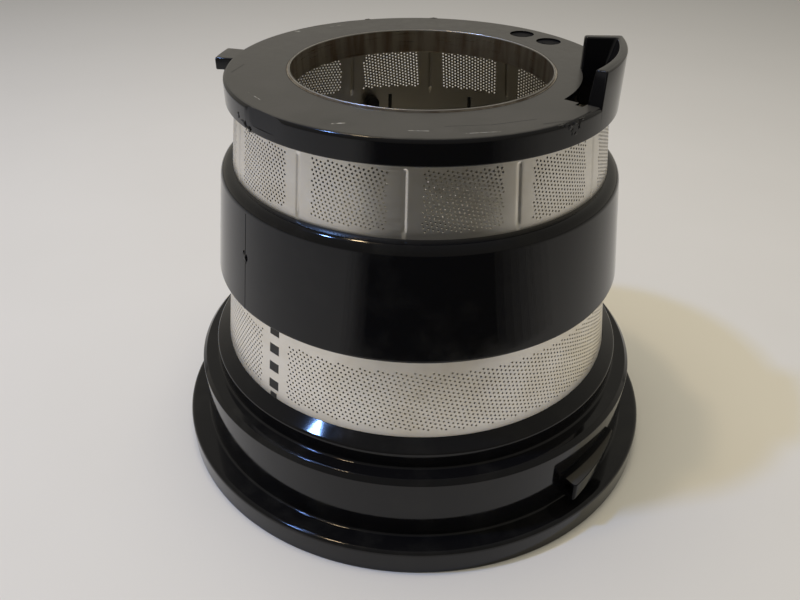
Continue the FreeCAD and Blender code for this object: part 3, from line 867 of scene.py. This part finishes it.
def trim_section(azimuth):
    """Section of the tool that cuts the flat at the collar's edge."""
    stretch = 1 / math.cos(math.radians(azimuth - TRIM_AZIMUTH))
    return [
        (stretch * TRIM_HIGH_REACH, TRIM_HIGH),
        (stretch * TRIM_LOW_REACH, TRIM_LOW),
        (TRIM_OUTSIDE, TRIM_LOW),
        (TRIM_OUTSIDE, TRIM_HIGH),
    ]


def build_collar(material):
    collar = make_object("collar", *lathe(collar_outline()))

    def cut(name, solid):
        carve(collar, make_object(name, *solid), "DIFFERENCE")

    carve(collar, make_lip(), "UNION")
    carve(collar, make_lug(), "UNION")
    inner, outer = at_radius(OUTLET_RADIUS), at_radius(LIP_ROOT_RADIUS - JOIN_SINK)
    slot_low, slot_high = COLLAR_LOW - OUTLET_DROP, LIP_CREST + CUT_MARGIN
    cut("slot", block(OUTLET_START, OUTLET_END + JOIN_SINK, slot_low, slot_high, inner, outer, OUTLET_STEPS))
    above = COLLAR_TOP + CUT_MARGIN
    cut("notch", block(NOTCH_START, NOTCH_END, NOTCH_LOW, above, at_radius(NOTCH_RADIUS), outer, NOTCH_STEPS))
    disc_low, disc_high = COLLAR_TOP - CUT_MARGIN, COLLAR_TOP - RECESS_DISC_DEPTH
    for azimuth in RECESS_AZIMUTHS:
        cut("recess", disc(azimuth, RECESS_REACH, RECESS_RADIUS, COLLAR_TOP - RECESS_DEPTH, above))
        plate = disc(azimuth, RECESS_REACH, RECESS_DISC_RADIUS, disc_low, disc_high)
        carve(collar, make_object("recess_disc", *plate), "UNION")
    trim_start, trim_end = TRIM_AZIMUTH - TRIM_HALF_ANGLE, TRIM_AZIMUTH + TRIM_HALF_ANGLE
    cut("trim", sweep(trim_section, spread(trim_start, trim_end, TRIM_STEPS)))
    chute = block(OUTLET_END, OUTLET_BACK, CHUTE_LOW, COLLAR_LOW + CUT_MARGIN, inner, outer, CHUTE_STEPS)
    join(collar, [chute, *(lump(*burr, seed) for seed, burr in enumerate(BURRS))])
    present(collar, "outlet_collar", material)


def build_ring(material):
    outline = rounded([
        (RING_BORE, COLLAR_LOW, 0.2),
        (RING_FLANGE, COLLAR_LOW, 0.0),
        (RING_FLANGE, COLLAR_LOW + RING_WALL, 0.0),
        (RING_OUTSIDE, COLLAR_LOW + RING_WALL, 0.0),
        (RING_OUTSIDE, COLLAR_TOP, 0.0),
        (RING_BORE + RING_CREST, COLLAR_TOP, 0.0),
        (RING_BORE + RING_CREST, RING_TOP, 0.1),
        (RING_BORE, RING_TOP, 0.12),
    ])
    present(make_object("bore_ring", *lathe(outline)), "wear_ring", material)


# Materials

VALUE_OPERATIONS = ("LENGTH", "DOT_PRODUCT", "DISTANCE")
STROKE_CORE = 0.4
PLASTIC_SPECULAR = 0.36


class Paint:
    """A material under construction: its nodes, and short ways to add and join them."""

    def __init__(self, name):
        self.material = bpy.data.materials.new(name)
        self.material.use_nodes = True
        self.tree = self.material.node_tree
        self.shader = self.tree.nodes["Principled BSDF"]
        self.place = self.add("ShaderNodeTexCoord").outputs["Object"]
        self.height = self.add("ShaderNodeSeparateXYZ", {0: self.place}).outputs["Z"]
        self.flat = self.vector("MULTIPLY", self.place, (1.0, 1.0, 0.0))
        self.radius = self.vector("LENGTH", self.flat)
        normal = self.add("ShaderNodeNewGeometry").outputs["Normal"]
        self.rise = self.add("ShaderNodeSeparateXYZ", {0: normal}).outputs["Z"]
        self.outward = self.vector("DOT_PRODUCT", normal, self.flat)

    def add(self, kind, inputs=None, **settings):
        node = self.tree.nodes.new(kind)
        for name, value in settings.items():
            setattr(node, name, value)
        for socket, value in (inputs or {}).items():
            self.feed(node.inputs[socket], value)
        return node

    def feed(self, socket, value):
        if isinstance(value, bpy.types.NodeSocket):
            self.tree.links.new(value, socket)
        else:
            socket.default_value = value

    def set(self, socket, value):
        self.feed(self.shader.inputs[socket], value)

    def vector(self, operation, *values):
        node = self.add("ShaderNodeVectorMath", dict(enumerate(values)), operation=operation)
        return node.outputs["Value" if operation in VALUE_OPERATIONS else "Vector"]

    def maths(self, operation, first, second):
        return self.add("ShaderNodeMath", {0: first, 1: second}, operation=operation).outputs[0]

    def noise(self, size, detail=3.0, roughness=0.5, stretch=(1.0, 1.0, 1.0)):
        """Noise with features of a size in millimetres, stretched along each axis."""
        place = self.vector("MULTIPLY", self.place, [1 / part for part in stretch])
        inputs = {"Vector": place, "Scale": 1 / (size * MM), "Detail": detail, "Roughness": roughness}
        return self.add("ShaderNodeTexNoise", inputs).outputs["Fac"]

    def ranged(self, value, low, high, new_low=0.0, new_high=1.0):
        inputs = {0: value, 1: low, 2: high, 3: new_low, 4: new_high}
        return self.add("ShaderNodeMapRange", inputs, clamp=True).outputs[0]

    def between(self, share, none, full):
        """A value that runs from one to another with a share."""
        return self.ranged(share, 0.0, 1.0, none, full)

    def by_height(self, none, full):
        """A mask that grows from none to full between two heights."""
        return self.ranged(self.height, none * MM, full * MM)

    def by_radius(self, none, full):
        """A mask that grows from none to full between two distances from the axis."""
        return self.ranged(self.radius, none * MM, full * MM)

    def both(self, first, second):
        return self.maths("MULTIPLY", first, second)

    def marks(self, strokes):
        """A mask of straight strokes in plan, each with two ends and a half width."""
        mask = None
        for start, end, reach in strokes:
            first = Vector((*start, 0.0)) * MM
            run = Vector((*end, 0.0)) * MM - first
            offset = self.vector("SUBTRACT", self.flat, first)
            along = self.vector("DOT_PRODUCT", offset, run / run.length_squared)
            nearest = self.vector("MULTIPLY", run, self.ranged(along, 0.0, 1.0))
            gap = self.vector("DISTANCE", offset, nearest)
            stroke = self.ranged(gap, reach * MM, reach * MM * STROKE_CORE)
            mask = self.maths("MAXIMUM", mask, stroke) if mask else stroke
        return mask

    def blend(self, share, first, second):
        inputs = {0: share, 6: first, 7: second}
        return self.add("ShaderNodeMix", inputs, data_type="RGBA").outputs[2]

    def bump(self, height, strength, depth):
        inputs = {"Height": height, "Strength": strength, "Distance": depth * MM}
        return self.add("ShaderNodeBump", inputs).outputs["Normal"]


def colour(red, green, blue):
    return (red, green, blue, 1.0)


# Marks on the collar's face: two ends in plan and a half width
COLLAR_DENTS = (
    ((-30.5, 28.0), (-25.0, 32.5), 0.5),
    ((-21.0, 35.4), (-17.5, 37.2), 0.5),
    ((-15.0, 38.6), (-12.0, 39.6), 0.45),
    ((-2.5, 41.0), (3.0, 41.0), 0.45),
    ((4.5, -35.5), (13.0, -34.2), 0.16),
    ((13.0, -34.2), (21.0, -31.0), 0.16),
    ((22.0, -33.4), (27.5, -31.2), 0.3),
    ((27.5, -31.2), (31.5, -26.5), 0.22),
    ((-39.5, -7.0), (-38.0, -1.5), 0.25),
)
COLLAR_SCRATCHES = (
    ((-2.0, -37.8), (1.5, -37.8), 0.14),
    ((-15.5, -35.2), (-13.5, -34.8), 0.3),
    ((-31.0, 26.2), (-30.0, 26.0), 0.35),
    ((-24.0, 30.5), (-20.5, 32.5), 0.12),
    ((8.0, -38.6), (14.0, -37.4), 0.1),
    ((33.0, -14.0), (35.5, -8.5), 0.1),
    ((-33.5, -19.5), (-30.5, -23.5), 0.1),
    ((30.0, -20.0), (32.5, -17.0), 0.14),
)


def screen_steel():
    """Brushed steel with faint stains, and painted shade that makes it darker inside the cone."""
    paint = Paint("screen_steel")
    paint.set("Metallic", 1.0)
    stain = paint.ranged(paint.noise(14.0, 4.0), 0.45, 0.7)
    bright = paint.blend(stain, colour(0.85, 0.82, 0.765), colour(0.73, 0.685, 0.6))
    # Painted shade: faces that look inwards into the cone get a darker steel colour.
    inside = paint.ranged(paint.outward, 5.0 * MM, -5.0 * MM)
    paint.set("Base Color", paint.blend(inside, bright, colour(0.52, 0.49, 0.43)))
    grain = paint.noise(0.5, 2.0, stretch=(14.0, 14.0, 0.35))
    paint.set("Roughness", paint.ranged(grain, 0.3, 0.7, 0.3, 0.42))
    paint.set("Normal", paint.bump(grain, 0.12, 0.02))
    return paint.material


def ring_steel():
    """Turned steel with a tarnished wall and a rubbed, bright crest."""
    paint = Paint("ring_steel")
    paint.set("Metallic", 1.0)
    tarnish = paint.ranged(paint.noise(2.5, 3.0, stretch=(1.0, 1.0, 6.0)), 0.4, 0.65)
    wall = paint.blend(tarnish, colour(0.5, 0.455, 0.385), colour(0.3, 0.235, 0.18))
    crest = paint.by_height(COLLAR_TOP, COLLAR_TOP + 0.15)
    paint.set("Base Color", paint.blend(crest, wall, colour(0.74, 0.72, 0.68)))
    turned = paint.noise(0.6, 2.0, stretch=(16.0, 16.0, 0.3))
    paint.set("Roughness", paint.ranged(turned, 0.3, 0.7, 0.26, 0.4))
    paint.set("Normal", paint.bump(turned, 0.15, 0.02))
    return paint.material


def frame_plastic():
    """Glossy black moulding with a faint orange peel. Its locking wedge is duller, and rubbed grey on top."""
    paint = Paint("frame_plastic")
    rubbed = paint.ranged(paint.noise(9.0, 5.0, 0.6), 0.5, 0.75)
    black = paint.blend(rubbed, colour(0.005, 0.005, 0.006), colour(0.012, 0.012, 0.012))
    on_wedge = paint.by_radius(WEDGE_BASE + 0.1, WEDGE_BASE + 0.4)
    above = paint.by_height(FLANGE_TOP + 6.7, FLANGE_TOP + 6.9)
    level = paint.ranged(paint.rise, 0.6, 0.85)
    worn = paint.both(paint.both(on_wedge, above), level)
    paint.set("Base Color", paint.blend(worn, black, colour(0.055, 0.053, 0.05)))
    dull = paint.both(on_wedge, paint.by_height(FLANGE_TOP + 1.4, FLANGE_TOP + 1.8))
    paint.set("Specular IOR Level", paint.between(dull, PLASTIC_SPECULAR, 0.14))
    gloss = paint.between(rubbed, 0.07, 0.16)
    paint.set("Roughness", paint.between(worn, gloss, 0.42))
    paint.set("Normal", paint.bump(paint.noise(1.6, 3.0), 0.06, 0.05))
    return paint.material


def rib_plastic():
    """The same plastic where the mould leaves it matt."""
    paint = Paint("rib_plastic")
    paint.set("Specular IOR Level", PLASTIC_SPECULAR)
    rubbed = paint.ranged(paint.noise(4.0, 4.0), 0.4, 0.7)
    paint.set("Base Color", paint.blend(rubbed, colour(0.02, 0.019, 0.018), colour(0.035, 0.033, 0.03)))
    paint.set("Roughness", paint.between(rubbed, 0.35, 0.5))
    return paint.material


def collar_plastic():
    """Black moulding with a worn, satin grey top face that has dents, scratches and pale scuffs."""
    paint = Paint("collar_plastic")
    above = paint.by_height(COLLAR_TOP - 0.3, COLLAR_TOP - 0.1)
    below = paint.by_height(COLLAR_TOP + 0.2, COLLAR_TOP + 0.05)
    level = paint.ranged(paint.rise, 0.8, 0.97)
    worn = paint.both(paint.both(above, below), level)
    scuffed = paint.ranged(paint.noise(8.0, 7.0, 0.7), 0.36, 0.7)
    top = paint.blend(scuffed, colour(0.036, 0.035, 0.032), colour(0.072, 0.069, 0.063))
    dents = paint.marks(COLLAR_DENTS)
    broken = paint.ranged(paint.noise(0.8), 0.4, 0.6)
    scratches = paint.both(paint.marks(COLLAR_SCRATCHES), broken)
    top = paint.blend(dents, top, colour(0.012, 0.012, 0.012))
    top = paint.blend(scratches, top, colour(0.36, 0.35, 0.33))
    paint.set("Base Color", paint.blend(worn, colour(0.006, 0.006, 0.007), top))
    sunk = paint.both(paint.by_height(COLLAR_TOP - 0.22, COLLAR_TOP - 0.28), level)
    plain_rough = paint.between(sunk, 0.12, 0.6)
    worn_rough = paint.between(scuffed, 0.28, 0.48)
    paint.set("Roughness", paint.between(worn, plain_rough, worn_rough))
    paint.set("Specular IOR Level", paint.between(sunk, PLASTIC_SPECULAR, 0.1))
    grain = paint.maths("SUBTRACT", paint.noise(0.9, 4.0), paint.both(dents, worn))
    paint.set("Normal", paint.bump(grain, 0.12, 0.05))
    return paint.material


def floor_paint():
    """Pale floor, with painted shade that makes it a little darker far from the part."""
    paint = Paint("pale_floor")
    paint.set("Roughness", 0.6)
    mottle = paint.noise(60.0, 3.0)
    near = paint.blend(mottle, colour(0.74, 0.735, 0.72), colour(0.78, 0.775, 0.765))
    # Painted shade: the floor's colour darkens between 220 and 600 mm from the axis.
    far = paint.by_radius(220.0, 600.0)
    paint.set("Base Color", paint.blend(far, near, colour(0.64, 0.635, 0.62)))
    return paint.material


# Stage, light and camera

CAMERA_PLACE = (0.0, -164.078, 140.569)
CAMERA_PAN = -1.4305
CAMERA_TILT = 33.781
CAMERA_ROLL = -0.6003
CAMERA_CLIP = 10.0
FOCAL_PIXELS = 761.634
IMAGE_WIDTH = 800.0
SENSOR_WIDTH = 36.0

FLOOR_REACH = 7000.0
FLOOR_NEAR = 150.0
FLOOR_STEP = 0.125
DARK_START = -23.0
DARK_END = 38.0
FADE_IN = (0.125, 0.125, 0.25, 0.25, 0.375, 0.5, 0.625, 0.75, 0.75, 0.875)
FADE_OUT_SHARES = (0.875, 0.75, 0.625, 0.5, 0.375, 0.25, 0.125)
SLIVERS_OF_A_SHARE = 4
FADE_OUT = tuple(share for share in FADE_OUT_SHARES for _ in range(SLIVERS_OF_A_SHARE))

LAMP_AIM = (0.0, 0.0, 40.0)

# Lamps: name, place, size, power, tint and whether gloss mirrors it
LAMPS = (
    ("cool_lamp", (-385.0, -76.0, 700.0), 45.0, 1.77, (0.25, 0.45, 1.0), True),
    ("warm_lamp", (-199.0, 0.0, 700.0), 45.0, 0.6, (1.0, 0.77, 0.47), True),
    ("soft_fill", (-60.0, 0.0, 660.0), 500.0, 2.3, (1.0, 0.9, 0.66), False),
)

# Room's colours from straight down to straight up
ROOM_STOPS = (
    (0.0, colour(0.02, 0.02, 0.02)),
    (0.44, colour(0.05, 0.05, 0.05)),
    (0.485, colour(0.45, 0.42, 0.36)),
    (0.78, colour(0.4, 0.38, 0.33)),
    (1.0, colour(0.26, 0.25, 0.23)),
)
ROOM_FRONT_SHARE = 0.35
ROOM_FULL_FROM = 0.6


def floor_sector(start, end):
    steps = spread(start, end, round((end - start) / FLOOR_STEP))
    near = [on_ring(azimuth, FLOOR_NEAR, 0.0) for azimuth in reversed(steps)]
    return [on_ring(azimuth, FLOOR_REACH, 0.0) for azimuth in steps] + near


def make_floor(name, loops, mirrored):
    floor = make_object(name, *merged([(loop, [list(range(len(loop)))]) for loop in loops]))
    floor.data.materials.append(floor_paint())
    floor.visible_glossy = mirrored


def make_floors():
    """The floor. Gloss doesn't mirror its front sector, as if that side were dark. Slivers fade it out."""
    turns = spread(0.0, 360.0, round(360.0 / FLOOR_STEP))[:-1]
    middle = [on_ring(azimuth, FLOOR_NEAR, 0.0) for azimuth in turns]
    fade_start = DARK_START - len(FADE_IN)
    dark = [(fade_start + step, fade_start + step + width) for step, width in enumerate(FADE_IN)]
    dark.append((DARK_START, DARK_END))
    dark += [(DARK_END + step + 1.0 - width, DARK_END + step + 1.0) for step, width in enumerate(FADE_OUT)]
    starts = [end for _, end in dark]
    ends = [start for start, _ in dark[1:]] + [fade_start + 360.0]
    make_floor("floor", [middle, *map(floor_sector, starts, ends)], True)
    make_floor("floor_front", [floor_sector(*sector) for sector in dark], False)


def make_lamp(name, place, size, power, tint, mirrored):
    """A square lamp that faces the middle of the part."""
    data = bpy.data.lights.new(name, "AREA")
    data.shape = "SQUARE"
    data.size = size * MM
    data.energy = power
    data.color = tint
    lamp = bpy.data.objects.new(name, data)
    lamp.location = Vector(place) * MM
    lamp.rotation_euler = (Vector(LAMP_AIM) - Vector(place)).to_track_quat("-Z", "Y").to_euler()
    lamp.visible_glossy = mirrored
    bpy.context.scene.collection.objects.link(lamp)


def make_world():
    """A dim room: brightest at the horizon, dark below it and darker towards the viewer."""
    world = bpy.data.worlds.new("room")
    world.use_nodes = True
    tree = world.node_tree
    place = tree.nodes.new("ShaderNodeTexCoord")
    split = tree.nodes.new("ShaderNodeSeparateXYZ")
    tree.links.new(place.outputs["Generated"], split.inputs[0])
    ramp = tree.nodes.new("ShaderNodeValToRGB")
    points = ramp.color_ramp.elements
    for _ in ROOM_STOPS[len(points):]:
        points.new(1.0)
    for point, (position, tint) in zip(points, ROOM_STOPS):
        point.position = position
        point.color = tint
    rise = tree.nodes.new("ShaderNodeMapRange")
    rise.inputs["From Min"].default_value = -1.0
    tree.links.new(split.outputs["Z"], rise.inputs["Value"])
    tree.links.new(rise.outputs[0], ramp.inputs[0])
    strength = tree.nodes.new("ShaderNodeMapRange")
    strength.inputs["From Min"].default_value = -1.0
    strength.inputs["From Max"].default_value = ROOM_FULL_FROM
    strength.inputs["To Min"].default_value = ROOM_FRONT_SHARE
    tree.links.new(split.outputs["Y"], strength.inputs["Value"])
    background = tree.nodes["Background"]
    tree.links.new(ramp.outputs[0], background.inputs["Color"])
    tree.links.new(strength.outputs[0], background.inputs["Strength"])
    bpy.context.scene.world = world


def make_camera():
    pan, tilt, roll = (math.radians(angle) for angle in (CAMERA_PAN, CAMERA_TILT, CAMERA_ROLL))
    ahead = Vector((math.sin(pan) * math.cos(tilt), math.cos(pan) * math.cos(tilt), -math.sin(tilt)))
    level = Vector((math.cos(pan), -math.sin(pan), 0.0))
    down = ahead.cross(level)
    right = level * math.cos(roll) + down * math.sin(roll)
    up = level * math.sin(roll) - down * math.cos(roll)
    data = bpy.data.cameras.new("camera")
    data.sensor_width = SENSOR_WIDTH
    data.lens = FOCAL_PIXELS / IMAGE_WIDTH * SENSOR_WIDTH
    data.clip_start = CAMERA_CLIP * MM
    camera = bpy.data.objects.new("camera", data)
    axes = Matrix((right, up, -ahead)).transposed()
    camera.matrix_world = Matrix.Translation(Vector(CAMERA_PLACE) * MM) @ axes.to_4x4()
    bpy.context.scene.collection.objects.link(camera)
    bpy.context.scene.camera = camera


frame_black = frame_plastic()
build_screen(screen_steel())
build_rim(frame_black)
build_band(frame_black)
build_ribs(rib_plastic())
build_collar(collar_plastic())
build_ring(ring_steel())
make_floors()
for lamp_values in LAMPS:
    make_lamp(*lamp_values)
make_world()
make_camera()
bpy.context.scene.view_settings.view_transform = "Standard"
